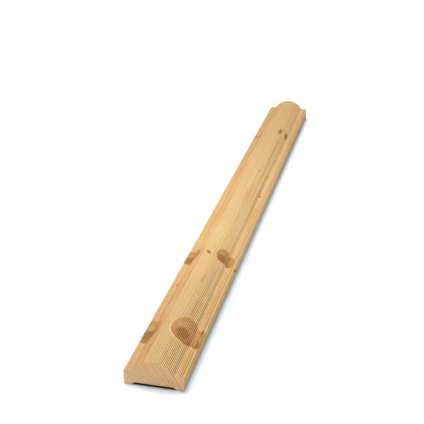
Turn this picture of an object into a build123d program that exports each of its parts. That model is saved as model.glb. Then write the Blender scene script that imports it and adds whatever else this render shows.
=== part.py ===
from build123d import *

import os

# Moulded softwood roof batten, one planed length of solid timber.
# Its face has two flat shoulders with a round crown between them that sheds water.
# Its back is relieved along the middle, so that the batten beds on two narrow feet.
# The section is the same along the whole length, and both ends are sawn square.
#
# Millimetres. The origin is at the middle of the bed plane, under the batten's middle.
# X runs across the batten, Y along it, and Z up from the feet to the crown.

# Overall size
length = 600.0
width = 45.0
thickness = 21.0

# Face: a flat shoulder along each side, and the crown that rises between them
shoulder_width = 6.4
shoulder_height = 11.6
shoulder_arris_radius = 1.0
crown_foot_radius = 0.8

# Back: the relief between the two feet, with sloped walls
foot_width = 6.0
relief_depth = 1.9
relief_wall_run = 1.8
bed_arris_radius = 0.8
foot_corner_radius = 0.3
relief_corner_radius = 0.4

# Stations across the half section, from the sizes above
side_x = width / 2
crown_foot_x = side_x - shoulder_width
foot_corner_x = side_x - foot_width
relief_corner_x = foot_corner_x - relief_wall_run

# Two points closer than this are the same corner
same_point = 0.001


def corner_pair(x, z):
    """The two corners of the section at the height z that lie x to the left and right of its middle."""
    return section.vertices().filter_by(
        lambda corner: abs(abs(corner.X) - x) < same_point and abs(corner.Y - z) < same_point
    )


with BuildPart() as roof_batten:
    with BuildSketch(Plane.XZ) as section:
        with BuildLine():
            ThreePointArc(
                (-crown_foot_x, shoulder_height),
                (0, thickness),
                (crown_foot_x, shoulder_height),
            )
            Polyline(
                (crown_foot_x, shoulder_height),
                (side_x, shoulder_height),
                (side_x, 0),
                (foot_corner_x, 0),
                (relief_corner_x, relief_depth),
                (-relief_corner_x, relief_depth),
                (-foot_corner_x, 0),
                (-side_x, 0),
                (-side_x, shoulder_height),
                (-crown_foot_x, shoulder_height),
            )
        make_face()
        # Planed arrises and the small hollows that the cutter leaves
        fillet(corner_pair(side_x, shoulder_height), shoulder_arris_radius)
        fillet(corner_pair(crown_foot_x, shoulder_height), crown_foot_radius)
        fillet(corner_pair(side_x, 0), bed_arris_radius)
        fillet(corner_pair(foot_corner_x, 0), foot_corner_radius)
        fillet(corner_pair(relief_corner_x, relief_depth), relief_corner_radius)
    extrude(amount=length / 2, both=True)

roof_batten.part.label = "roof_batten"

os.makedirs("parts", exist_ok=True)
export_step(roof_batten.part, "parts/roof_batten.step")
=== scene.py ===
"""Looks for the moulded softwood roof batten.

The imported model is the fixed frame, and one piece stands for its node: the batten itself. A
geometry tree draws its moulded section along its length. One set of growth rings, with the
knots, gives the planed faces their relief and colours. A second, coarser set colours the sawn
ends, and the two sets don't meet at the arrises.

Lengths are in metres, apart from names that end in _mm: the grain is worked out in
millimetres. X runs across the batten, Y along it and Z up from its feet.
"""

from __future__ import annotations

import logging
import math
from dataclasses import dataclass
from enum import Enum

import bpy
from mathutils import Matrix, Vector


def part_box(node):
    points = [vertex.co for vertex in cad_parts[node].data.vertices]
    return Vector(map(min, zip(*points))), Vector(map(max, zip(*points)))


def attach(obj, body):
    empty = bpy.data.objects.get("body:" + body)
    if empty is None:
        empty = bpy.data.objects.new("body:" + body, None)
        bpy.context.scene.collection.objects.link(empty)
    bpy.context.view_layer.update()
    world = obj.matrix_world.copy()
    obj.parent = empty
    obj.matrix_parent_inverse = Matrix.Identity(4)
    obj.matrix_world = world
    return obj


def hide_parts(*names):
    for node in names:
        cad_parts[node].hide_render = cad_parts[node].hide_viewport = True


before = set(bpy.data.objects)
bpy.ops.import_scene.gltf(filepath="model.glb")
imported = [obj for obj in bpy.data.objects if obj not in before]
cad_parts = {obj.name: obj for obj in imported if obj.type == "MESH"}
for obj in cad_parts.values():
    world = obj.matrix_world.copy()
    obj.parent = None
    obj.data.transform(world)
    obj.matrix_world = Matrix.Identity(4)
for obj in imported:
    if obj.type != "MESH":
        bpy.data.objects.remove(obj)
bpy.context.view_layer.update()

LOG = logging.getLogger("roof_batten")
NODE = "roof_batten"
BODY = "root"
MM_PER_M = 1000.0


def written(red: int, green: int, blue: int) -> tuple[float, float, float, float]:
    """A colour written in 8 bit screen values, as the shaders take it.

    Args:
        red: The red value, from 0 to 255.
        green: The green value.
        blue: The blue value.

    Returns:
        The colour in linear light, with full alpha.
    """
    def linear(value: int) -> float:
        """One channel in linear light."""
        share = value / 255
        return share / 12.92 if share <= 0.04045 else ((share + 0.055) / 1.055) ** 2.4

    return linear(red), linear(green), linear(blue), 1.0


def shown(name: str, data: bpy.types.ID) -> bpy.types.Object:
    """Makes an object of a mesh, a light or a camera, and puts it in the scene."""
    item = bpy.data.objects.new(name, data)
    bpy.context.scene.collection.objects.link(item)
    return item


class Wire:
    """A value in a node tree that is written like a number."""

    def __init__(self, graph: Graph, socket: bpy.types.NodeSocket) -> None:
        """Keeps the tree and the socket that the value comes out of."""
        self.graph = graph
        self.socket = socket

    def __add__(self, other: Term) -> Wire:
        """The sum of two values."""
        return self.graph.math("ADD", self, other)

    def __radd__(self, other: Term) -> Wire:
        """The sum of two values."""
        return self.graph.math("ADD", other, self)

    def __sub__(self, other: Term) -> Wire:
        """The difference of two values."""
        return self.graph.math("SUBTRACT", self, other)

    def __rsub__(self, other: Term) -> Wire:
        """The difference of two values."""
        return self.graph.math("SUBTRACT", other, self)

    def __mul__(self, other: Term) -> Wire:
        """The product of two values."""
        return self.graph.math("MULTIPLY", self, other)

    def __truediv__(self, other: Term) -> Wire:
        """One value divided by another."""
        return self.graph.math("DIVIDE", self, other)

    def __rtruediv__(self, other: Term) -> Wire:
        """One value divided by another."""
        return self.graph.math("DIVIDE", other, self)


Term = Wire | float
Triple = Wire | Vector | tuple
Span = tuple[float, float]


class Graph:
    """A node tree that is written as formulas."""

    def __init__(self, tree: bpy.types.NodeTree) -> None:
        """Keeps the tree that the nodes go into."""
        self.tree = tree

    @classmethod
    def emptied(cls, owner: bpy.types.Material | bpy.types.World) -> Graph:
        """Switches on the nodes of a material or a world, and empties their tree."""
        owner.use_nodes = True
        owner.node_tree.nodes.clear()
        return cls(owner.node_tree)

    def add(self, kind: str, inputs: dict | None = None, **settings: object) -> bpy.types.Node:
        """Adds a node.

        Args:
            kind: Blender's name for the kind of node.
            inputs: What each input gets, by its name or number: a wire or a constant.
            **settings: The node's own settings.

        Returns:
            The new node.
        """
        node = self.tree.nodes.new(kind)
        for name, value in settings.items():
            setattr(node, name, value)
        for key, value in (inputs or {}).items():
            if isinstance(value, Wire):
                self.tree.links.new(value.socket, node.inputs[key])
            else:
                node.inputs[key].default_value = value
        return node

    def out(self, node: bpy.types.Node, key: str | int = 0) -> Wire:
        """The value that comes out of a node."""
        return Wire(self, node.outputs[key])

    def math(self, operation: str, *terms: Term) -> Wire:
        """A sum, product or other formula of plain values."""
        return self.out(self.add("ShaderNodeMath", dict(enumerate(terms)), operation=operation))

    def clamp(self, value: Term) -> Wire:
        """A value kept between 0 and 1."""
        node = self.add("ShaderNodeMath", {0: value, 1: 0.0}, operation="ADD", use_clamp=True)
        return self.out(node)

    def step(self, value: Term, span: Span) -> Wire:
        """A smooth step from 0 below a span to 1 above it."""
        low, high = span
        inputs = {0: value, 1: low, 2: high, 3: 0.0, 4: 1.0}
        return self.out(self.add("ShaderNodeMapRange", inputs, interpolation_type="SMOOTHSTEP"))

    def fade(self, value: Term, span: Span) -> Wire:
        """A smooth step from 1 below a span to 0 above it."""
        return 1.0 - self.step(value, span)

    def ridge(self, value: Term, rise: Span, fall: Span) -> Wire:
        """A smooth step up over one span, and back down over the next."""
        return self.step(value, rise) * self.fade(value, fall)

    def vector(self, operation: str, *terms: Triple) -> Wire:
        """A formula of vectors that gives a vector."""
        node = self.add("ShaderNodeVectorMath", dict(enumerate(terms)), operation=operation)
        return self.out(node, "Vector")

    def scaled(self, vector: Triple, factor: Term) -> Wire:
        """A vector times a plain value."""
        inputs = {0: vector, "Scale": factor}
        node = self.add("ShaderNodeVectorMath", inputs, operation="SCALE")
        return self.out(node, "Vector")

    def measure(self, operation: str, *terms: Triple) -> Wire:
        """A formula of vectors that gives a plain value, such as a length."""
        node = self.add("ShaderNodeVectorMath", dict(enumerate(terms)), operation=operation)
        return self.out(node, "Value")

    def split(self, vector: Wire) -> tuple[Wire, Wire, Wire]:
        """The three parts of a vector."""
        node = self.add("ShaderNodeSeparateXYZ", {0: vector})
        return self.out(node, 0), self.out(node, 1), self.out(node, 2)

    def join(self, x: Term, y: Term, z: Term) -> Wire:
        """A vector of three plain values."""
        return self.out(self.add("ShaderNodeCombineXYZ", {0: x, 1: y, 2: z}))

    def mix(self, share: Term, one: Term, other: Term) -> Wire:
        """A plain value between two others."""
        inputs = {"Factor": share, 2: one, 3: other}
        return self.out(self.add("ShaderNodeMix", inputs, data_type="FLOAT"), 0)

    def mix_vector(self, share: Term, one: Triple, other: Triple) -> Wire:
        """A vector between two others."""
        inputs = {"Factor": share, 4: one, 5: other}
        return self.out(self.add("ShaderNodeMix", inputs, data_type="VECTOR"), 1)

    def mix_colour(self, share: Term, one: Triple, other: Triple, way: str = "MIX") -> Wire:
        """A colour between two others, blended in one of Blender's ways."""
        inputs = {"Factor": share, 6: one, 7: other}
        return self.out(self.add("ShaderNodeMix", inputs, data_type="RGBA", blend_type=way), 2)

    def tinted(self, colour: Wire, red: Term, green: Term, blue: Term) -> Wire:
        """A colour whose three channels are each multiplied."""
        return self.mix_colour(1.0, colour, self.join(red, green, blue), "MULTIPLY")

    def ramp(self, value: Wire, stops: list[tuple[float, tuple]]) -> Wire:
        """A colour looked up from a value.

        Args:
            value: Where to look, from 0 to 1.
            stops: The places and colours of the ramp's stops, in order.

        Returns:
            The colour.
        """
        node = self.add("ShaderNodeValToRGB", {0: value})
        elements = node.color_ramp.elements
        while len(elements) < len(stops):
            elements.new(1.0)
        for element, (place, colour) in zip(elements, stops):
            element.position = place
            element.color = colour
        return self.out(node, 0)


@dataclass(frozen=True)
class Mottle:
    """Soft noise in the wood.

    It has the size of its blotches along X, Y and Z, a number of finer layers, a seed that
    sets it apart from the others, and the amount that it counts for.
    """

    size_mm: tuple[float, float, float]
    detail: float
    seed: float
    amount: float = 1.0

    def at(self, graph: Graph, place: Triple) -> Wire:
        """The noise at a place in millimetres, from about 0 to 1, whatever its amount is."""
        per_mm = Vector(tuple(1 / size for size in self.size_mm))
        shifted = graph.vector("MULTIPLY_ADD", place, per_mm, Vector((self.seed,) * 3))
        inputs = {"Vector": shifted, "Scale": 1.0, "Detail": self.detail, "Roughness": 0.5}
        return graph.out(graph.add("ShaderNodeTexNoise", inputs, noise_dimensions="3D"))

    def tone(self, graph: Graph, place: Triple) -> Wire:
        """The noise times its amount."""
        return self.at(graph, place) * self.amount

    def shift(self, graph: Graph, place: Triple) -> Wire:
        """The noise to either side of zero, times its amount."""
        return (self.at(graph, place) - 0.5) * self.amount


@dataclass(frozen=True)
class Section:
    """The moulded section: a round crown between flat shoulders, over a relieved back."""

    width: float
    thickness: float
    shoulder_width: float = 0.0064
    shoulder_height: float = 0.0116
    shoulder_arris: float = 0.0010
    crown_foot_blend: float = 0.0008
    foot_width: float = 0.0060
    relief_depth: float = 0.0019
    relief_wall_run: float = 0.0018
    bed_arris: float = 0.0008

    @property
    def crown_half_width(self) -> float:
        """Half the crown's width where it meets the shoulders."""
        return self.width / 2 - self.shoulder_width

    @property
    def crown_radius(self) -> float:
        """The radius of the crown's arc."""
        rise = self.thickness - self.shoulder_height
        return (self.crown_half_width**2 + rise**2) / (2 * rise)

    def on_face(self, across: float) -> tuple[Vector, float]:
        """Follows the face from its left edge, over the crown and down the right side.

        Args:
            across: The distance along the face's outline.

        Returns:
            The point in the plane of the section, and the angle of the face's normal above
            the horizontal, in radians.
        """
        half_angle = math.asin(self.crown_half_width / self.crown_radius)
        crown_end = self.shoulder_width + 2 * half_angle * self.crown_radius
        face_end = crown_end + self.shoulder_width
        upright = math.pi / 2
        if across < self.shoulder_width:
            return Vector((across - self.width / 2, 0, self.shoulder_height)), upright
        if across < crown_end:
            angle = (across - self.shoulder_width) / self.crown_radius - half_angle
            x = self.crown_radius * math.sin(angle)
            z = self.thickness - self.crown_radius * (1 - math.cos(angle))
            return Vector((x, 0, z)), upright - angle
        if across < face_end:
            x = self.crown_half_width + across - crown_end
            return Vector((x, 0, self.shoulder_height)), upright
        return Vector((self.width / 2, 0, self.shoulder_height - (across - face_end))), 0.0


class KnotKind(Enum):
    """How a knot looks where the planer cut it."""

    SOUND = "sound"
    CLEAR = "clear"
    BLACK = "black"
    PIN = "pin"


@dataclass(frozen=True)
class KnotLook:
    """What sets a kind of knot apart."""

    heart_ahead: float
    heart_half_width: float
    heart_half_length: float
    darkness: float


KNOT_LOOKS = {
    KnotKind.SOUND: KnotLook(-0.30, 0.56, 0.37, 0.88),
    KnotKind.CLEAR: KnotLook(-0.30, 0.50, 0.36, 0.15),
    KnotKind.BLACK: KnotLook(0.26, 0.66, 0.46, 0.9),
    KnotKind.PIN: KnotLook(0.0, 0.9, 0.9, 0.8),
}


@dataclass(frozen=True)
class Knot:
    """A branch that the batten was cut through.

    Its place is measured over the face from the left edge, and along the batten from the near
    end. The branch points out of the face, unless it has an angle of its own.
    """

    across_mm: float
    along_mm: float
    half_width_mm: float
    half_length_mm: float
    kind: KnotKind = KnotKind.SOUND
    branch_deg: float | None = None
    turn_deg: float = 0.0
    reach_mm: float = 14.0
    heart_aside: float = 0.0
    heart_width: float = 1.0


KNOTS = (
    # The whorl nearest the camera: one knot over the crown's right flank, one on the left
    Knot(
        38.0, 52.4, 12.3, 16.4, branch_deg=53.0, reach_mm=30.0, heart_aside=-0.17, heart_width=0.8
    ),
    Knot(50.6, 50.2, 2.3, 13.0, KnotKind.CLEAR, branch_deg=20.0, reach_mm=10.0),
    Knot(2.5, 53.0, 12.2, 17.0, branch_deg=120.0, reach_mm=24.0, heart_aside=0.2),
    # The second whorl
    Knot(37.8, 176.5, 6.6, 11.2, reach_mm=20.0),
    Knot(46.0, 175.6, 4.2, 9.6, KnotKind.CLEAR, branch_deg=60.0, reach_mm=12.0),
    Knot(4.5, 176.5, 10.6, 12.0, branch_deg=120.0, reach_mm=20.0, heart_width=0.55),
    Knot(24.3, 174.9, 1.6, 3.8, KnotKind.PIN, turn_deg=28.0, reach_mm=6.0),
    Knot(57.1, 172.4, 1.5, 6.2, KnotKind.PIN, turn_deg=-29.0, reach_mm=4.0),
    # The third whorl
    Knot(33.6, 490.6, 2.7, 9.0, KnotKind.BLACK, reach_mm=8.0),
    Knot(42.3, 490.0, 2.8, 9.6, KnotKind.BLACK, reach_mm=8.0),
    Knot(6.9, 496.0, 1.4, 10.5, KnotKind.PIN, turn_deg=-4.0, reach_mm=3.0),
    Knot(2.0, 489.0, 0.9, 6.0, KnotKind.PIN, reach_mm=3.0),
    # Pins between the whorls
    Knot(5.2, 127.5, 0.7, 1.6, KnotKind.PIN, reach_mm=3.0),
    Knot(4.3, 100.3, 0.5, 1.0, KnotKind.PIN, reach_mm=3.0),
    Knot(32.0, 368.2, 0.8, 1.8, KnotKind.PIN, reach_mm=3.0),
    Knot(44.3, 368.2, 0.8, 1.8, KnotKind.PIN, reach_mm=3.0),
    Knot(45.5, 320.2, 0.9, 2.2, KnotKind.PIN, reach_mm=3.0),
    Knot(5.5, 385.7, 0.5, 1.2, KnotKind.PIN, reach_mm=3.0),
)


@dataclass(frozen=True)
class KnotField:
    """What the nearest knot does at a point."""

    distance: Wire
    local: Wire
    heart: Wire
    darkness: Wire
    push: Wire


@dataclass(frozen=True)
class RingField:
    """What the growth rings do at a point."""

    late: Wire
    strength: Wire
    inward_mm: Wire


@dataclass(frozen=True)
class Rings:
    """A set of growth rings: where their pith lies, and how they stray from true circles.

    A year's late wood begins and ends over two spans of that year.
    """

    pith_x_mm: float
    pith_z_mm: float
    pitch_mm: float
    wander_mm: float
    waver: float
    wander_noise: Mottle = Mottle((70, 420, 70), detail=1, seed=3.1)
    waver_noise: Mottle = Mottle((8, 110, 8), detail=1, seed=7.7)
    late_begins: Span = (0.0, 0.14)
    late_ends: Span = (0.26, 0.66)

    def from_pith_mm(self, section: Section, across_mm: float) -> float:
        """How far a place on the face is from the pith."""
        point, _ = section.on_face(across_mm / MM_PER_M)
        return (point * MM_PER_M - Vector((self.pith_x_mm, 0, self.pith_z_mm))).length

    def depth_mm(self, section: Section, across_mm: float) -> float:
        """How much nearer to the pith a place on the face is than the face's left edge."""
        return self.from_pith_mm(section, 0.0) - self.from_pith_mm(section, across_mm)

    def field(self, graph: Graph, place: Wire, section: Section, lift: Term) -> RingField:
        """Counts the growth rings.

        Args:
            graph: The tree to write into.
            place: Where to look in clear wood, in millimetres.
            section: The batten's section, whose left edge is where the count begins.
            lift: How far a knot lifts the rings, in millimetres.

        Returns:
            How much of the wood there is late wood, how strong its ring is, and how far in
            from the face's left edge it is.
        """
        x, _, z = graph.split(place)
        from_pith = graph.join(x - self.pith_x_mm, 0.0, z - self.pith_z_mm)
        wander = self.wander_noise.shift(graph, place) * self.wander_mm
        waver = self.waver_noise.shift(graph, place) * self.waver
        edge_radius = self.from_pith_mm(section, 0.0)
        inward = edge_radius - graph.measure("LENGTH", from_pith) + wander + lift
        count = inward / self.pitch_mm + waver
        late = graph.ridge(graph.math("FRACT", count), self.late_begins, self.late_ends)
        number = graph.math("FLOOR", count)
        strength = graph.add("ShaderNodeTexWhiteNoise", {"W": number}, noise_dimensions="1D")
        return RingField(late, graph.out(strength, "Value"), inward)


@dataclass(frozen=True)
class Timber:
    """The log that the batten was cut from: its rings and its knots.

    The fine lines of the planed faces and the coarser rings of the sawn ends are counted
    apart, because they stand at different angles in this stick. Spans round a knot are
    shares of its half size, so 1 is its outline.
    """

    section: Section
    near_end_mm: float
    knots: tuple[Knot, ...] = KNOTS
    face_rings: Rings = Rings(200.0, -38.0, pitch_mm=1.19, wander_mm=0.5, waver=0.15)
    end_rings: Rings = Rings(-81.0, -48.0, pitch_mm=1.85, wander_mm=1.0, waver=0.4)
    bulge_mm: float = 0.20
    bulge_fades: Span = (0.9, 1.8)
    parting: float = 0.03
    parting_fades: Span = (1.1, 2.4)

    def knot_axes(self, knot: Knot) -> tuple[Vector, Vector, Vector, Vector]:
        """The middle of a knot, and its directions across, along and out of the face.

        Args:
            knot: The knot.

        Returns:
            The middle in millimetres, and three unit vectors.
        """
        point, normal = self.section.on_face(knot.across_mm / MM_PER_M)
        middle = point * MM_PER_M
        middle.y = self.near_end_mm + knot.along_mm
        angle = normal if knot.branch_deg is None else math.radians(knot.branch_deg)
        out = Vector((math.cos(angle), 0, math.sin(angle)))
        across = Vector((math.sin(angle), 0, -math.cos(angle)))
        along = Vector((0, 1, 0))
        turn = math.radians(knot.turn_deg)
        turned_across = across * math.cos(turn) + along * math.sin(turn)
        turned_along = along * math.cos(turn) - across * math.sin(turn)
        return middle, turned_across, turned_along, out

    def knot_field(self, graph: Graph, place: Wire) -> KnotField:
        """Finds the nearest knot.

        Args:
            graph: The tree to write into.
            place: Where to look, in millimetres.

        Returns:
            The nearest knot's own coordinates and looks at the place.
        """
        far = 9.0
        distance: Term = far
        local: Triple = (far, far, far)
        heart: Triple = (far, far, 0.0)
        push: Triple = (0.0, 0.0, 0.0)
        darkness: Term = 0.0
        for knot in self.knots:
            middle, across, along, out = self.knot_axes(knot)
            look = KNOT_LOOKS[knot.kind]
            from_middle = graph.vector("SUBTRACT", place, middle)
            here = graph.join(
                graph.measure("DOT_PRODUCT", from_middle, across / knot.half_width_mm),
                graph.measure("DOT_PRODUCT", from_middle, along / knot.half_length_mm),
                graph.measure("DOT_PRODUCT", from_middle, out / knot.reach_mm),
            )
            how_far = graph.measure("LENGTH", here)
            nearer = graph.math("LESS_THAN", how_far, distance)
            from_heart = graph.vector(
                "MULTIPLY",
                graph.vector("SUBTRACT", here, (knot.heart_aside, look.heart_ahead, 0.0)),
                (
                    1 / (look.heart_half_width * knot.heart_width),
                    1 / look.heart_half_length,
                    0.0,
                ),
            )
            local = graph.mix_vector(nearer, local, here)
            heart = graph.mix_vector(nearer, heart, from_heart)
            push = graph.mix_vector(nearer, push, across * knot.half_width_mm)
            darkness = graph.mix(nearer, darkness, look.darkness)
            distance = graph.math("MINIMUM", how_far, distance)
        return KnotField(distance, local, heart, darkness, push)

    def around_knots(self, graph: Graph, place: Wire, knots: KnotField) -> Wire:
        """Leads the grain round the knots, as a stream flows round a stone.

        Args:
            graph: The tree to write into.
            place: Where to look, in millimetres.
            knots: The nearest knot.

        Returns:
            The place that the grain there would have in clear wood.
        """
        sideways, _, _ = graph.split(knots.local)
        spread = graph.math("MINIMUM", 1.0 / (knots.distance * knots.distance), 1.0)
        fading = graph.fade(knots.distance, self.parting_fades)
        shift = graph.scaled(knots.push, sideways * spread * fading * self.parting)
        return graph.vector("SUBTRACT", place, shift)

    def face_grain(self, graph: Graph, place: Wire) -> tuple[KnotField, Wire, RingField]:
        """Reads the log at a place on the planed faces.

        Args:
            graph: The tree to write into.
            place: Where to look, in millimetres.

        Returns:
            The nearest knot, where the grain of the place would be in clear wood, and the
            growth rings.
        """
        knots = self.knot_field(graph, place)
        clear = self.around_knots(graph, place, knots)
        lift = graph.fade(knots.distance, self.bulge_fades) * self.bulge_mm
        return knots, clear, self.face_rings.field(graph, clear, self.section, lift)


@dataclass(frozen=True)
class KnotPaint:
    """The colours of a knot from its rim to its heart, and how they run into each other.

    Distances and spans are shares of the knot's half size, so 1 is its outline, or of its
    heart's.
    """

    rim: tuple = written(196, 143, 84)
    flesh: tuple = written(190, 143, 89)
    foot: tuple = written(177, 124, 70)
    pale: tuple = written(195, 161, 122)
    core: tuple = written(163, 115, 72)
    black: tuple = written(137, 87, 36)
    halo: tuple = written(218, 168, 104)
    # The painted highlight along a knot's lower left outline
    crescent: tuple = written(246, 214, 164)
    # How uneven its zones are
    ragged: Mottle = Mottle((0.5, 0.5, 0.5), detail=3, seed=2.2)
    frayed: Mottle = Mottle((0.16, 0.16, 0.16), detail=2, seed=4.1, amount=0.7)
    speckle: Mottle = Mottle((0.09, 0.09, 0.09), detail=1, seed=6.0, amount=0.44)
    ragged_outline: float = 0.16
    ragged_heart: float = 0.6
    ragged_pale: float = 0.9
    # Its outline, and the wood round it, with a painted highlight along its lower left outline
    outline: Span = (0.95, 1.01)
    halo_fades: Span = (0.98, 1.45)
    halo_share: float = 0.30
    crescent_begins: Span = (0.98, 1.01)
    crescent_ends: Span = (1.03, 1.08)
    crescent_start: float = -0.30
    crescent_sideways: float = 1.2
    crescent_lengthways: float = 0.6
    crescent_share: float = 0.55
    # Its flesh, which is darker at its rim and at the end towards the camera
    rim_begins: Span = (0.62, 0.94)
    foot_begins: Span = (0.3, 0.75)
    # Its heart, the pale patch beyond it, and the pale side where the branch was cut along
    heart_fades: Span = (0.70, 1.25)
    black_begins: Span = (0.8, 1.0)
    pale_middle: tuple = (-0.6, 1.5, 0.0)
    pale_fades: Span = (0.3, 1.0)
    pale_share: float = 0.68
    side_begins: Span = (0.60, 1.20)
    side_ends: Span = (1.30, 1.80)
    side_lengthways: Span = (-0.45, 0.05)
    side_falling: Span = (-4.0, -1.0)
    side_share: float = 0.65
    # Its own years
    year_turns: float = 31.0
    ragged_years: float = 7.0
    year_share: float = 0.16
    heart_years: float = 0.40
    # How much of the wood's own lines shows in it, and its tone
    hatch_share: float = 0.85
    base_tone: float = 0.78


@dataclass(frozen=True)
class Look:
    """What a place on a finish looks like."""

    colour: Wire
    height: Wire
    roughness: Term


@dataclass(frozen=True)
class SoftwoodFinish:
    """A finish of the batten's wood, which reads the field of rings and knots."""

    timber: Timber
    name: str
    roughness: float
    gloss: float
    bump_strength: float
    bump_depth: float

    def make(self) -> bpy.types.Material:
        """Builds the material.

        Returns:
            The finished material.
        """
        material = bpy.data.materials.new(self.name)
        graph = Graph.emptied(material)
        coordinates = graph.add("ShaderNodeTexCoord")
        place = graph.scaled(graph.out(coordinates, "Object"), MM_PER_M)
        look = self.look(graph, place)
        relief = {
            "Strength": self.bump_strength,
            "Distance": self.bump_depth,
            "Height": look.height,
        }
        surface = {
            "Base Color": look.colour,
            "Roughness": look.roughness,
            "Specular IOR Level": self.gloss,
            "Normal": graph.out(graph.add("ShaderNodeBump", relief)),
        }
        shader = graph.out(graph.add("ShaderNodeBsdfPrincipled", surface))
        graph.add("ShaderNodeOutputMaterial", {"Surface": shader})
        return material

    def look(self, graph: Graph, place: Wire) -> Look:
        """Works out the look of a place, which each kind of finish does for itself."""
        raise NotImplementedError


@dataclass(frozen=True)
class Band:
    """The look of the growth rings that come out at one place on the face.

    The place is measured over the face from its left edge; lines says how much darker the
    late wood is drawn there.
    """

    across_mm: float
    early: tuple
    lines: float


CORN = written(219, 185, 132)
HONEY = written(222, 179, 124)
RUST = written(217, 171, 112)
AMBER = written(240, 194, 132)
APRICOT = written(239, 196, 136)
STRAW = written(228, 192, 137)
WHEAT = written(230, 196, 141)
BARLEY = written(236, 200, 145)
OLIVE = written(242, 205, 146)
FLAX = written(244, 208, 150)
IVORY = written(253, 220, 163)
BLUSH = written(229, 192, 139)
DARK_RUST = written(166, 123, 71)
CREAM = written(240, 207, 150)
TAN = written(218, 180, 119)
FAWN = written(218, 182, 127)
HUSK = written(199, 172, 131)

BANDS = (
    Band(0.0, CORN, 0.50),
    Band(4.8, CORN, 0.50),
    Band(5.8, HONEY, 0.70),
    # Partly painted shade: the darker band at 6.5 mm lies in the hollow at the crown's left foot
    Band(6.5, RUST, 0.80),
    Band(7.8, AMBER, 0.75),
    Band(13.6, AMBER, 0.95),
    Band(17.0, APRICOT, 1.00),
    Band(20.0, STRAW, 0.60),
    Band(24.0, STRAW, 0.50),
    Band(27.5, WHEAT, 0.70),
    Band(31.0, BARLEY, 1.10),
    Band(35.0, OLIVE, 1.38),
    Band(37.6, OLIVE, 1.22),
    Band(39.6, FLAX, 1.28),
    # Partly painted light: the pale bands at 41.8 and 44.6 mm lift the shade on the crown's right
    # flank and in the hollow at its foot
    Band(41.8, IVORY, 1.34),
    Band(42.8, FLAX, 1.05),
    Band(44.6, IVORY, 0.70),
    Band(46.4, BLUSH, 1.05),
    Band(49.9, BLUSH, 1.10),
    Band(50.6, DARK_RUST, 0.70),
    Band(51.2, CREAM, 0.35),
    Band(53.5, CREAM, 0.35),
    Band(55.5, TAN, 0.35),
    Band(58.0, FAWN, 0.35),
    # Painted shade: the band at 63 mm, at the foot of the side face, is drawn greyer for the cool
    # shadow on the floor beside it
    Band(63.0, HUSK, 0.35),
)


@dataclass(frozen=True)
class Streak:
    """A streak of darker or redder wood that follows the grain.

    Its place is measured over the face from its left edge, and along the batten from the near
    end.
    """

    across_mm: float
    along_mm: float
    half_width_mm: float
    half_length_mm: float
    colour: tuple
    strength: float


LEMON = written(246, 222, 152)
SAPLESS = written(255, 230, 176)
GOLD = written(238, 192, 118)
ORANGE = written(214, 150, 80)
BROWN = written(158, 104, 50)
UMBER = written(134, 84, 34)

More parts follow.
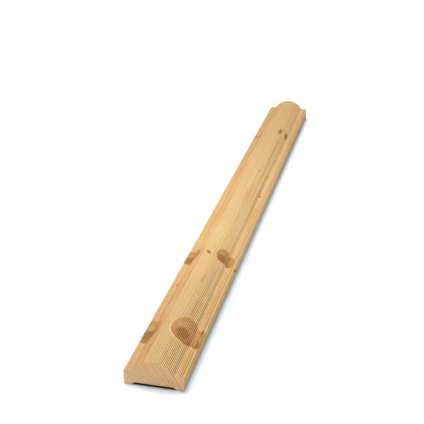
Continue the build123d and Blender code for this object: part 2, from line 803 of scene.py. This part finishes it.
STREAKS = (
    # A paler, yellower stretch in the middle of the length
    Streak(24.0, 218.0, 40.0, 34.0, LEMON, 0.24),
    # Broad changes of tone
    Streak(12.0, 425.0, 6.0, 48.0, IVORY, 0.45),
    Streak(37.0, 232.0, 3.6, 105.0, IVORY, 0.75),
    Streak(13.4, 268.0, 3.2, 40.0, RUST, 0.22),
    Streak(14.5, 560.0, 8.0, 52.0, RUST, 0.55),
    Streak(3.4, 90.0, 1.2, 110.0, GOLD, 0.25),
    Streak(13.5, 81.0, 5.5, 20.0, IVORY, 0.55),
    Streak(3.8, 312.0, 1.3, 76.0, GOLD, 0.50),
    Streak(4.0, 378.0, 1.4, 50.0, ORANGE, 0.16),
    # Dark years on the crown's right flank, strongest at the near end, and pale ones between them
    Streak(31.6, 20.0, 0.45, 60.0, BROWN, 0.50),
    Streak(35.3, 86.0, 0.60, 26.0, BROWN, 0.80),
    Streak(35.4, 20.0, 0.45, 40.0, BROWN, 0.50),
    Streak(36.8, 60.0, 0.40, 90.0, BROWN, 0.50),
    Streak(38.2, 130.0, 0.42, 260.0, BROWN, 0.60),
    Streak(40.6, 60.0, 0.45, 110.0, BROWN, 0.40),
    Streak(42.1, 200.0, 0.40, 240.0, BROWN, 0.25),
    Streak(43.4, 60.0, 0.50, 220.0, BROWN, 0.55),
    Streak(36.5, 430.0, 0.80, 60.0, BROWN, 0.50),
    Streak(37.9, 372.0, 0.90, 58.0, BROWN, 0.42),
    Streak(41.9, 340.0, 1.30, 60.0, BROWN, 0.26),
    Streak(39.5, 160.0, 0.60, 380.0, SAPLESS, 0.95),
    Streak(36.9, 200.0, 0.80, 96.0, SAPLESS, 0.50),
    # Painted light: this pale streak lifts the shade in the hollow at the crown's right foot
    Streak(44.9, 90.0, 0.80, 200.0, SAPLESS, 0.70),
    # Reddish flames, and two brown ones
    Streak(31.0, 129.0, 1.30, 14.0, ORANGE, 0.75),
    Streak(30.8, 305.0, 0.75, 30.0, ORANGE, 0.90),
    Streak(33.4, 312.0, 0.75, 34.0, ORANGE, 0.90),
    Streak(32.0, 345.0, 1.20, 34.0, ORANGE, 0.35),
    Streak(43.0, 306.0, 2.00, 64.0, ORANGE, 0.28),
    Streak(43.3, 324.0, 2.60, 18.0, BROWN, 0.20),
    Streak(48.4, 20.0, 0.70, 34.0, ORANGE, 0.80),
    Streak(48.0, 112.0, 0.75, 50.0, ORANGE, 0.85),
    Streak(46.4, 270.0, 1.30, 50.0, ORANGE, 0.45),
    Streak(48.2, 270.0, 0.80, 60.0, ORANGE, 0.40),
    Streak(13.0, 50.0, 0.80, 44.0, ORANGE, 0.30),
    Streak(8.5, 110.0, 1.60, 90.0, ORANGE, 0.22),
    Streak(16.6, 285.0, 0.90, 60.0, ORANGE, 0.40),
    Streak(5.9, 84.0, 0.50, 90.0, BROWN, 0.26),
    Streak(1.0, 70.0, 0.60, 40.0, ORANGE, 0.35),
    Streak(2.4, 60.0, 0.80, 80.0, ORANGE, 0.26),
    Streak(6.6, 320.0, 1.20, 90.0, ORANGE, 0.25),
    Streak(2.5, 425.0, 1.10, 60.0, ORANGE, 0.35),
    Streak(26.8, 184.0, 1.60, 6.0, ORANGE, 0.35),
    Streak(28.4, 170.6, 1.60, 2.2, ORANGE, 0.45),
    Streak(8.8, 495.0, 1.80, 11.0, ORANGE, 0.50),
    Streak(16.8, 20.0, 0.55, 50.0, ORANGE, 0.80),
    Streak(16.9, 128.0, 0.60, 56.0, ORANGE, 0.70),
)

CHECKS = (
    # Fine dark checks along the right arris, where the largest knot breaks out
    Streak(50.6, 60.5, 0.95, 8.0, UMBER, 1.0),
    Streak(50.2, 51.5, 0.60, 7.0, UMBER, 0.70),
    Streak(50.6, 43.0, 0.95, 8.5, UMBER, 1.0),
)


@dataclass(frozen=True)
class PlanedFinish(SoftwoodFinish):
    """Long grain, as the moulder's knives left it.

    Places along the batten are measured from its near end, and a span says where a change
    begins and where it is complete.
    """

    name: str = "planed_softwood"
    roughness: float = 0.70
    gloss: float = 0.06
    bump_strength: float = 0.35
    bump_depth: float = 0.00012
    raised_fibres: Mottle = Mottle((0.16, 7.0, 0.16), detail=2, seed=9.0, amount=0.5)
    raised_late: float = 0.3
    knot_gloss: float = 0.06
    knot_paint: KnotPaint = KnotPaint()
    late: tuple = written(140, 86, 38)
    streak_fades: Span = (0.2, 1.0)
    # How strongly the late wood is drawn
    weakest_year: float = 0.60
    year_spread: float = 0.45
    mean_late: float = 0.32
    near_lines: float = 1.21
    lines_fade_mm: Span = (20.0, 260.0)
    lines_fade: float = 0.29
    far_half_mm: Span = (285.0, 350.0)
    far_lines_fade: float = 0.26
    # The tone of the wood, and how it varies
    base_tone: float = 0.70
    broad: Mottle = Mottle((3.5, 260, 1), detail=1, seed=11.0, amount=0.14)
    streaks: Mottle = Mottle((1.1, 90, 1), detail=2, seed=5.0, amount=0.18)
    fibres: Mottle = Mottle((0.35, 14, 0.35), detail=1, seed=1.5, amount=0.16)
    flecks: Mottle = Mottle((0.75, 4.5, 0.75), detail=0, seed=6.5, amount=0.20)
    # How it dims and reddens away from the lightest place: partly the wood's own tone and partly
    # painted shade, for light that falls off along the batten
    lightest_mm: float = 245.0
    dims_over_mm: Span = (60.0, 230.0)
    dimming: float = 0.10
    end_reach_mm: float = 330.0
    end_dimming: float = 0.04
    far_dimming: float = 0.058
    far_tint_mm: Span = (330.0, 560.0)
    far_tint: tuple[float, float, float] = (0.05, 0.08, 0.11)

    def streaked(
        self, graph: Graph, base: Wire, place: Wire, rings: RingField, streak: Streak
    ) -> Wire:
        """Lays one streak into the wood.

        Args:
            graph: The tree to write into.
            base: The colour of the wood without it.
            place: Where to look in clear wood, in millimetres.
            rings: The growth rings there.
            streak: The streak.

        Returns:
            The colour.
        """
        section = self.timber.section
        face_rings = self.timber.face_rings
        low, middle, high = (
            face_rings.depth_mm(section, streak.across_mm + side * streak.half_width_mm)
            for side in (-1, 0, 1)
        )
        _, along, _ = graph.split(place)
        aside = (rings.inward_mm - middle) / ((high - low) / 2)
        ahead = (along - (self.timber.near_end_mm + streak.along_mm)) / streak.half_length_mm
        far = graph.measure("LENGTH", graph.join(aside, ahead, 0.0))
        share = graph.fade(far, self.streak_fades) * streak.strength
        return graph.mix_colour(share, base, streak.colour)

    def banded(self, graph: Graph, rings: RingField) -> tuple[Wire, Wire]:
        """Looks up the bands of the face.

        Args:
            graph: The tree to write into.
            rings: The growth rings at the place.

        Returns:
            The colour of the early wood, and how strongly the late wood is drawn on it.
        """
        timber = self.timber
        depths = [timber.face_rings.depth_mm(timber.section, band.across_mm) for band in BANDS]
        where = rings.inward_mm / depths[-1]
        places = [depth / depths[-1] for depth in depths]
        early = [(spot, band.early) for spot, band in zip(places, BANDS)]
        lines = [(spot, (band.lines,) * 3 + (1.0,)) for spot, band in zip(places, BANDS)]
        contrast, _, _ = graph.split(graph.ramp(where, lines))
        return graph.ramp(where, early), contrast

    def wood(self, graph: Graph, place: Wire, rings: RingField) -> tuple[Wire, Wire]:
        """Colours the clear wood.

        Args:
            graph: The tree to write into.
            place: Where to look in clear wood, in millimetres.
            rings: The growth rings there.

        Returns:
            The colour, and how much darker than the wood around it the rings make the place.
        """
        base, contrast = self.banded(graph, rings)
        for streak in STREAKS:
            base = self.streaked(graph, base, place, rings, streak)
        _, along, _ = graph.split(place)
        sheet = graph.join(rings.inward_mm, along, 0.0)
        from_end = along - self.timber.near_end_mm
        lines_fade = graph.step(from_end, self.lines_fade_mm) * self.lines_fade
        beyond = graph.step(from_end, self.far_half_mm)
        drawn = contrast * (self.near_lines - lines_fade - beyond * self.far_lines_fade)
        year = self.weakest_year + rings.strength * self.year_spread
        lines = graph.clamp(rings.late * year * drawn)
        aside = graph.math("ABSOLUTE", from_end - self.lightest_mm)
        end_share = aside / self.end_reach_mm
        shade = self.base_tone + self.broad.tone(graph, sheet) + self.streaks.tone(graph, sheet)
        shade = shade + self.fibres.tone(graph, place) + self.flecks.tone(graph, place)
        # Partly painted shade: the wood is drawn darker away from the lightest place, and darker
        # and redder towards the far end
        shade = shade - graph.step(aside, self.dims_over_mm) * self.dimming
        shade = shade - end_share * end_share * self.end_dimming - beyond * self.far_dimming
        far = graph.step(from_end, self.far_tint_mm)
        toned = graph.tinted(base, *(shade * (1.0 - far * loss) for loss in self.far_tint))
        return graph.mix_colour(lines, toned, self.late), (rings.late - self.mean_late) * drawn

    def round_knots(self, graph: Graph, wood: Wire, knots: KnotField, distance: Wire) -> Wire:
        """Colours the wood that grew round the knots.

        Args:
            graph: The tree to write into.
            wood: The colour of the clear wood.
            knots: The nearest knot.
            distance: How far the place is from the knot's middle, as a share of its size.

        Returns:
            The colour, redder near a knot, with a painted highlight along its lower left outline.
        """
        paint = self.knot_paint
        sideways, lengthways, _ = graph.split(knots.local)
        halo = graph.fade(distance, paint.halo_fades)
        around = graph.mix_colour(halo * paint.halo_share, wood, paint.halo)
        # Painted highlight: a pale crescent along the knot's lower left outline
        edge = graph.ridge(distance, paint.crescent_begins, paint.crescent_ends)
        lower_left = graph.clamp(
            paint.crescent_start
            - sideways * paint.crescent_sideways
            - lengthways * paint.crescent_lengthways
        )
        return graph.mix_colour(edge * lower_left * paint.crescent_share, around, paint.crescent)

    def knot_face(
        self, graph: Graph, wood: Wire, knots: KnotField, hatch: Wire
    ) -> tuple[Wire, Wire]:
        """Lays the knots over the wood.

        Args:
            graph: The tree to write into.
            wood: The colour of the clear wood.
            knots: The nearest knot.
            hatch: How much darker the rings make the place, which still shows through a knot.

        Returns:
            The colour with the knots in it, and how far the place lies within a knot.
        """
        paint = self.knot_paint
        ragged = paint.ragged.shift(graph, knots.local)
        distance = knots.distance + ragged * paint.ragged_outline
        inside = graph.fade(distance, paint.outline)
        around = self.round_knots(graph, wood, knots, distance)
        # The heart, and the pale patch beyond it
        heart_far = graph.measure("LENGTH", knots.heart) + ragged * paint.ragged_heart
        heart = graph.fade(heart_far + paint.frayed.shift(graph, knots.local), paint.heart_fades)
        from_pale = graph.vector("SUBTRACT", knots.heart, paint.pale_middle)
        pale_far = graph.measure("LENGTH", from_pale) + ragged * paint.ragged_pale
        pale = graph.fade(pale_far, paint.pale_fades) * knots.darkness
        wave = graph.math("SINE", distance * paint.year_turns + ragged * paint.ragged_years)
        years = wave * 0.5 + 0.5
        # The flesh, from the rim inwards
        _, lengthways, _ = graph.split(knots.local)
        rim = graph.step(distance, paint.rim_begins)
        face = graph.mix_colour(rim, paint.flesh, paint.rim)
        foot = graph.step(0.0 - lengthways, paint.foot_begins)
        face = graph.mix_colour(foot, face, paint.foot)
        # A knot on the flank that falls to the right is cut along its branch on that side
        heart_side, _, _ = graph.split(knots.heart)
        _, _, rise = graph.split(knots.push)
        beside = graph.ridge(heart_side, paint.side_begins, paint.side_ends)
        beside = beside * graph.step(lengthways, paint.side_lengthways) * knots.darkness
        pale_side = beside * graph.fade(rise, paint.side_falling) * (1.0 - rim)
        face = graph.mix_colour(pale_side * paint.side_share, face, paint.pale)
        face = graph.mix_colour(pale * paint.pale_share, face, paint.pale)
        face = graph.mix_colour(years * paint.year_share, face, paint.core)
        blackness = graph.step(knots.darkness, paint.black_begins)
        dark = graph.mix_colour(blackness, paint.core, paint.black)
        face = graph.mix_colour(heart * knots.darkness, face, dark)
        speckle = paint.speckle.tone(graph, knots.local) + paint.base_tone
        ringed = 1.0 + heart * (0.5 - years) * paint.heart_years
        tone = speckle * ringed * (1.0 - hatch * paint.hatch_share)
        return graph.mix_colour(inside, around, graph.tinted(face, tone, tone, tone)), inside

    def look(self, graph: Graph, place: Wire) -> Look:
        """Works out the look of the planed faces.

        Args:
            graph: The tree to write into.
            place: Where to look, in millimetres.

        Returns:
            The look of the place.
        """
        knots, clear, rings = self.timber.face_grain(graph, place)
        wood, hatch = self.wood(graph, clear, rings)
        colour, inside = self.knot_face(graph, wood, knots, hatch)
        for check in CHECKS:
            colour = self.streaked(graph, colour, clear, rings, check)
        height = self.raised_fibres.tone(graph, clear) + rings.late * self.raised_late
        return Look(colour, height, self.roughness - inside * self.knot_gloss)


@dataclass(frozen=True)
class SawnFinish(SoftwoodFinish):
    """End grain, as the saw left it: warmer towards the upper right, and specked low down."""

    name: str = "sawn_softwood"
    roughness: float = 0.8
    gloss: float = 0.25
    bump_strength: float = 0.5
    bump_depth: float = 0.0002
    raised_fuzz: float = 0.6
    raised_late: float = 0.4
    early: tuple = written(244, 210, 164)
    blush: tuple = written(250, 208, 158)
    late: tuple = written(186, 112, 60)
    # Where it changes
    rightwards_mm: Span = (-8.0, 16.0)
    upwards_mm: Span = (1.0, 12.0)
    upwards_sooner_mm: float = 4.0
    low_down_mm: Span = (5.0, 12.0)
    # Its tone
    base_tone: float = 0.83
    fuzz: Mottle = Mottle((0.35, 0.35, 0.35), detail=2, seed=4.0)
    blotch: Mottle = Mottle((6.0, 6.0, 6.0), detail=2, seed=8.0)
    mottling: float = 0.18
    low_dimming: float = 0.07
    pricks: Mottle = Mottle((0.55, 0.55, 0.55), detail=1, seed=12.0)
    prick_edge: Span = (0.56, 0.66)
    prick_dimming: float = 0.06
    low_prick_dimming: float = 0.16
    # How strongly its late wood is drawn
    low_lines: float = 0.12
    high_lines: float = 0.70
    weakest_year: float = 0.7
    year_spread: float = 0.4

    def look(self, graph: Graph, place: Wire) -> Look:
        """Works out the look of the sawn ends.

        Args:
            graph: The tree to write into.
            place: Where to look, in millimetres.

        Returns:
            The look of the place.
        """
        rings = self.timber.end_rings.field(graph, place, self.timber.section, 0.0)
        across, _, height_mm = graph.split(place)
        fuzz = self.fuzz.at(graph, place)
        blotch = self.blotch.at(graph, place)
        rightwards = graph.step(across, self.rightwards_mm)
        upwards = graph.step(height_mm + rightwards * self.upwards_sooner_mm, self.upwards_mm)
        low_down = graph.fade(height_mm, self.low_down_mm)
        base = graph.mix_colour(rightwards * upwards, self.early, self.blush)
        shade = self.base_tone + fuzz * self.mottling + blotch * self.mottling
        pricked = graph.step(self.pricks.at(graph, place), self.prick_edge)
        prick_dimming = self.prick_dimming + low_down * self.low_prick_dimming
        shade = shade - low_down * self.low_dimming - pricked * prick_dimming
        base = graph.tinted(base, shade, shade, shade)
        drawn = self.low_lines + upwards * self.high_lines
        year = self.weakest_year + rings.strength * self.year_spread
        colour = graph.mix_colour(graph.clamp(rings.late * drawn * year), base, self.late)
        height = fuzz * self.raised_fuzz + rings.late * self.raised_late
        return Look(colour, height, self.roughness)


@dataclass
class RoofBatten:
    """The batten: its moulded section, drawn along its length by a geometry tree."""

    section: Section
    length: float
    timber: Timber
    columns: int = 250
    rows: int = 170
    layers: int = 14
    end_arris: float = 0.00035
    end_rows: int = 4
    grain_relief: float = 0.00003
    knot_relief: float = 0.00012
    rim_begins: Span = (0.75, 1.0)
    rim_ends: Span = (1.0, 1.3)
    end_facing: float = 0.8

    def inputs(self) -> dict[str, float | int]:
        """The geometry tree's named sizes."""
        section = self.section
        return {
            "Width": section.width,
            "Length": self.length,
            "Thickness": section.thickness,
            "Shoulder Width": section.shoulder_width,
            "Shoulder Height": section.shoulder_height,
            "Shoulder Arris": section.shoulder_arris,
            "Crown Foot Blend": section.crown_foot_blend,
            "Foot Width": section.foot_width,
            "Relief Depth": section.relief_depth,
            "Relief Wall Run": section.relief_wall_run,
            "Bed Arris": section.bed_arris,
            "End Arris": self.end_arris,
            "Grain Relief": self.grain_relief,
            "Knot Relief": self.knot_relief,
            "Columns": self.columns,
            "Rows": self.rows,
            "Layers": self.layers,
            "End Rows": self.end_rows,
        }

    def outline(self, graph: Graph, size: dict[str, Wire], x: Wire) -> tuple[Wire, Wire]:
        """Works out the section's top and bottom at a distance from its middle.

        Args:
            graph: The tree to write into.
            size: The named sizes.
            x: The distance across from the middle.

        Returns:
            The heights of the face and of the back.
        """
        half = size["Width"] * 0.5
        aside = graph.math("ABSOLUTE", x)

        def rounding(radius: Wire) -> Wire:
            """How far an arris of this radius falls away."""
            into = graph.math("MAXIMUM", aside - (half - radius), 0.0)
            left = graph.math("MAXIMUM", radius * radius - into * into, 0.0)
            return radius - graph.math("SQRT", left)

        crown_half = half - size["Shoulder Width"]
        rise = size["Thickness"] - size["Shoulder Height"]
        radius = (crown_half * crown_half + rise * rise) / (rise * 2.0)
        lift = graph.math("SQRT", graph.math("MAXIMUM", radius * radius - x * x, 0.0))
        crown = size["Thickness"] - radius + lift
        blend = size["Crown Foot Blend"]
        top = graph.math("SMOOTH_MAX", crown, size["Shoulder Height"], blend)
        up_wall = graph.clamp((half - size["Foot Width"] - aside) / size["Relief Wall Run"])
        bottom = up_wall * size["Relief Depth"] + rounding(size["Bed Arris"])
        return top - rounding(size["Shoulder Arris"]), bottom

    def draw(self, graph: Graph, size: dict[str, Wire]) -> Wire:
        """Draws the batten: a block of columns, rows and layers, bent to the section.

        Args:
            graph: The tree to write into.
            size: The named sizes.

        Returns:
            The geometry.
        """
        counts = {
            "Size": (2.0, 2.0, 2.0),
            "Vertices X": size["Columns"],
            "Vertices Y": size["Rows"],
            "Vertices Z": size["Layers"],
        }
        block = graph.add("GeometryNodeMeshCube", counts)
        across, along, up = graph.split(graph.out(graph.add("GeometryNodeInputPosition")))
        half = size["Width"] * 0.5
        quarter_turn = math.pi / 2
        x = half * graph.math("SINE", across * quarter_turn)
        rows_in = (1.0 - graph.math("ABSOLUTE", along)) * (size["Rows"] - 1.0) * 0.5
        turn = graph.math("MINIMUM", rows_in / size["End Rows"], 1.0) * quarter_turn
        pitch = (size["Length"] * 0.5 - size["End Arris"]) / (
            (size["Rows"] - 1.0) * 0.5 - size["End Rows"]
        )
        past_arris = graph.math("MAXIMUM", rows_in - size["End Rows"], 0.0)
        from_end = size["End Arris"] * (1.0 - graph.math("COSINE", turn)) + past_arris * pitch
        y = graph.math("SIGN", along) * (size["Length"] * 0.5 - from_end)
        inset = size["End Arris"] * (1.0 - graph.math("SINE", turn))
        top, bottom = self.outline(graph, size, x)
        z = graph.mix((up + 1.0) * 0.5, bottom + inset, top - inset)
        drawn = graph.join(x * (half - inset) / half, y, z)
        placed = graph.add(
            "GeometryNodeSetPosition", {"Geometry": graph.out(block, "Mesh"), "Position": drawn}
        )
        return graph.out(placed)

    def raise_grain(self, graph: Graph, size: dict[str, Wire], geometry: Wire) -> Wire:
        """Sinks the early wood and the knots' rims a little below the planed surface.

        Args:
            graph: The tree to write into.
            size: The named sizes.
            geometry: The drawn batten.

        Returns:
            The geometry with its relief.
        """
        position = graph.out(graph.add("GeometryNodeInputPosition"))
        place = graph.scaled(position, MM_PER_M)
        knots, _, rings = self.timber.face_grain(graph, place)
        rim = graph.ridge(knots.distance, self.rim_begins, self.rim_ends)
        sunk = (1.0 - rings.late) * size["Grain Relief"] + rim * size["Knot Relief"]
        normal = graph.out(graph.add("GeometryNodeInputNormal"), "Normal")
        offset = graph.scaled(normal, sunk * -1.0)
        moved = graph.add("GeometryNodeSetPosition", {"Geometry": geometry, "Offset": offset})
        return graph.out(moved)

    def tree(self, planed: bpy.types.Material, sawn: bpy.types.Material) -> bpy.types.NodeTree:
        """Builds the geometry tree.

        Args:
            planed: The material of the long faces.
            sawn: The material of the two ends.

        Returns:
            The tree.
        """
        tree = bpy.data.node_groups.new("moulded batten", "GeometryNodeTree")
        tree.interface.new_socket("Geometry", in_out="OUTPUT", socket_type="NodeSocketGeometry")
        for name, value in self.inputs().items():
            kind = "NodeSocketInt" if isinstance(value, int) else "NodeSocketFloat"
            tree.interface.new_socket(name, in_out="INPUT", socket_type=kind)
        graph = Graph(tree)
        group_input = graph.add("NodeGroupInput")
        size = {name: graph.out(group_input, name) for name in self.inputs()}
        geometry = self.raise_grain(graph, size, self.draw(graph, size))
        smooth = graph.add("GeometryNodeSetShadeSmooth", {"Geometry": geometry})
        realized = graph.add("GeometryNodeRealizeInstances", {"Geometry": graph.out(smooth)})
        long_grain = graph.add(
            "GeometryNodeSetMaterial", {"Geometry": graph.out(realized), "Material": planed}
        )
        normal = graph.out(graph.add("GeometryNodeInputNormal"), "Normal")
        facing = graph.math("ABSOLUTE", graph.split(normal)[1])
        at_end = graph.math("GREATER_THAN", facing, self.end_facing)
        ends = graph.add(
            "GeometryNodeSetMaterial",
            {"Geometry": graph.out(long_grain), "Selection": at_end, "Material": sawn},
        )
        graph.add("NodeGroupOutput", {"Geometry": graph.out(ends)})
        return tree

    def build(self) -> bpy.types.Object:
        """Makes the batten's mesh and dresses it.

        Returns:
            The finished piece.
        """
        tree = self.tree(PlanedFinish(self.timber).make(), SawnFinish(self.timber).make())
        blank = shown("batten_blank", bpy.data.meshes.new("batten_blank"))
        modifier = blank.modifiers.new("moulded batten", "NODES")
        modifier.node_group = tree
        sockets = {item.name: item.identifier for item in tree.interface.items_tree}
        for name, value in self.inputs().items():
            modifier[sockets[name]] = value
        blank.update_tag()
        evaluated = blank.evaluated_get(bpy.context.evaluated_depsgraph_get())
        mesh = bpy.data.meshes.new_from_object(evaluated)
        mesh.name = "planed_batten"
        blank.modifiers.remove(modifier)
        bpy.data.objects.remove(blank)
        return shown("planed_batten", mesh)


@dataclass(frozen=True)
class Lamp:
    """A soft lamp far away: its strength, how wide it looks, and where its light goes."""

    name: str
    strength: float
    spread_deg: float
    towards: tuple[float, float, float]

    def hang(self) -> None:
        """Puts the lamp in the scene."""
        light = bpy.data.lights.new(self.name, "SUN")
        light.energy = self.strength
        light.angle = math.radians(self.spread_deg)
        lamp = shown(self.name, light)
        lamp.rotation_euler = Vector(self.towards).to_track_quat("-Z", "Y").to_euler()


LAMPS = (
    Lamp("key", 2.17, 34.0, (0.34, -0.27, -1.0)),
    Lamp("overhead", 1.47, 78.0, (0.0, 0.0, -1.0)),
    Lamp("front", 0.58, 4.0, (-0.55, 1.0, -0.06)),
    Lamp("side", 0.26, 40.0, (-1.0, 0.15, -0.65)),
)


@dataclass
class Studio:
    """The floor, the light and the camera, round a part of the given half sizes."""

    half_width: float
    half_length: float
    floor_half: float = 6.0
    floor_gap: float = 0.00002
    floor_white: tuple = (0.90, 0.90, 0.90, 1)
    # Painted shade: the floor is dark under the batten, which deepens the shadow in the gap
    # beneath its back; it ends a little inside the batten's outline
    painted_gap_shade: tuple = (0.16, 0.15, 0.14, 1)
    side_inset: float = 0.001
    end_inset: float = 0.0005
    # A painted cool glow on the floor, seen straight on and by way of gloss or glass, that tints
    # the shadow beside the batten and ahead of it
    painted_cool_glow: tuple = (0.0, 0.45, 1.0, 1)
    painted_glow_beside: float = 0.24
    beside_begins: Span = (0.0005, 0.003)
    painted_glow_ahead: float = 0.18
    ahead_begins: Span = (0.0, 0.003)
    sky_strength: float = 0.02
    sky_colour: tuple = (0.9, 0.95, 1.0, 1)
    backdrop: tuple = (1, 1, 1, 1)
    camera_place: tuple = (0.17091, -0.8388, 0.40105)
    camera_turn_deg: float = 13.373
    camera_down_deg: float = 24.986
    camera_lens: float = 80.78
    camera_sensor: float = 36.0

    def floor(self) -> bpy.types.Object:
        """Lays a plain white floor.

        Returns:
            The floor.
        """
        half = self.floor_half
        corners = [(-half, -half), (half, -half), (half, half), (-half, half)]
        mesh = bpy.data.meshes.new("floor")
        mesh.from_pydata([(x, y, -self.floor_gap) for x, y in corners], [], [(0, 1, 2, 3)])
        mesh.materials.append(self.white())
        return shown("floor", mesh)

    def seen(self, graph: Graph) -> Wire:
        """Whether the camera sees the place, straight on or by way of gloss or glass."""
        path = graph.add("ShaderNodeLightPath")
        kinds = ["Is Camera Ray", "Is Glossy Ray", "Is Transmission Ray"]
        camera, glossy, glass = (graph.out(path, kind) for kind in kinds)
        return graph.math("MAXIMUM", camera, graph.math("MAXIMUM", glossy, glass))

    def white(self) -> bpy.types.Material:
        """Makes the floor's white, with painted shade under the batten and a painted cool glow
        that tints the shadow round it.

        Returns:
            The material.
        """
        material = bpy.data.materials.new("white_floor")
        graph = Graph.emptied(material)
        place = graph.out(graph.add("ShaderNodeTexCoord"), "Object")
        across, along, _ = graph.split(graph.vector("ABSOLUTE", place))
        half_width = self.half_width - self.side_inset
        half_length = self.half_length - self.end_inset
        # Painted shade: the floor is drawn dark under the batten, for the shadow in the gap
        # beneath it
        painted_shade_area = graph.math("LESS_THAN", across, half_width)
        painted_shade_area = painted_shade_area * graph.math("LESS_THAN", along, half_length)
        colour = graph.mix_colour(painted_shade_area, self.floor_white, self.painted_gap_shade)
        white = graph.add("ShaderNodeBsdfDiffuse", {"Color": colour})
        # Painted light: the floor glows cool beside the batten and ahead of it, which tints its
        # shadow
        beside = graph.step(across - half_width, self.beside_begins) * self.painted_glow_beside
        ahead = graph.step(along - half_length, self.ahead_begins) * self.painted_glow_ahead
        glow = self.seen(graph) * graph.math("MAXIMUM", beside, ahead)
        painted_cool_glow = graph.add("ShaderNodeEmission", {"Color": self.painted_cool_glow, "Strength": glow})
        both = graph.add("ShaderNodeAddShader", {0: graph.out(white), 1: graph.out(painted_cool_glow)})
        graph.add("ShaderNodeOutputMaterial", {"Surface": graph.out(both)})
        return material

    def sky(self) -> None:
        """Lights the scene evenly from all round, and shows white behind it."""
        world = bpy.data.worlds.new("studio")
        graph = Graph.emptied(world)
        seen = self.seen(graph)
        light = graph.mix(seen, self.sky_strength, 1.0)
        colour = graph.mix_colour(seen, self.sky_colour, self.backdrop)
        background = graph.add("ShaderNodeBackground", {"Color": colour, "Strength": light})
        graph.add("ShaderNodeOutputWorld", {"Surface": graph.out(background)})
        bpy.context.scene.world = world

    def camera(self) -> None:
        """Puts the camera where the photograph was taken from."""
        data = bpy.data.cameras.new("camera")
        data.lens = self.camera_lens
        data.sensor_width = self.camera_sensor
        camera = shown("camera", data)
        camera.location = self.camera_place
        tilt = math.radians(90 - self.camera_down_deg)
        camera.rotation_euler = (tilt, 0, math.radians(self.camera_turn_deg))
        bpy.context.scene.camera = camera

    def build(self) -> bpy.types.Object:
        """Sets up the floor, the lights and the camera.

        Returns:
            The floor.
        """
        self.sky()
        for lamp in LAMPS:
            lamp.hang()
        self.camera()
        bpy.context.scene.view_settings.view_transform = "Standard"
        return self.floor()


def main() -> None:
    """Builds the studio and the batten, and reports each piece."""
    logging.basicConfig(level=logging.INFO, format="%(name)s: %(message)s")
    low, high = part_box(NODE)
    section = Section(width=high.x - low.x, thickness=high.z - low.z)
    timber = Timber(section=section, near_end_mm=low.y * MM_PER_M)
    floor = Studio(half_width=high.x, half_length=high.y).build()
    LOG.info("floor, lights and camera are in place")
    batten = RoofBatten(section=section, length=high.y - low.y, timber=timber).build()
    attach(batten, BODY)
    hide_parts(NODE)
    batten.data.calc_loop_triangles()
    LOG.info("%s: %d triangles", batten.name, len(batten.data.loop_triangles))


if __name__ == "__main__":
    main()
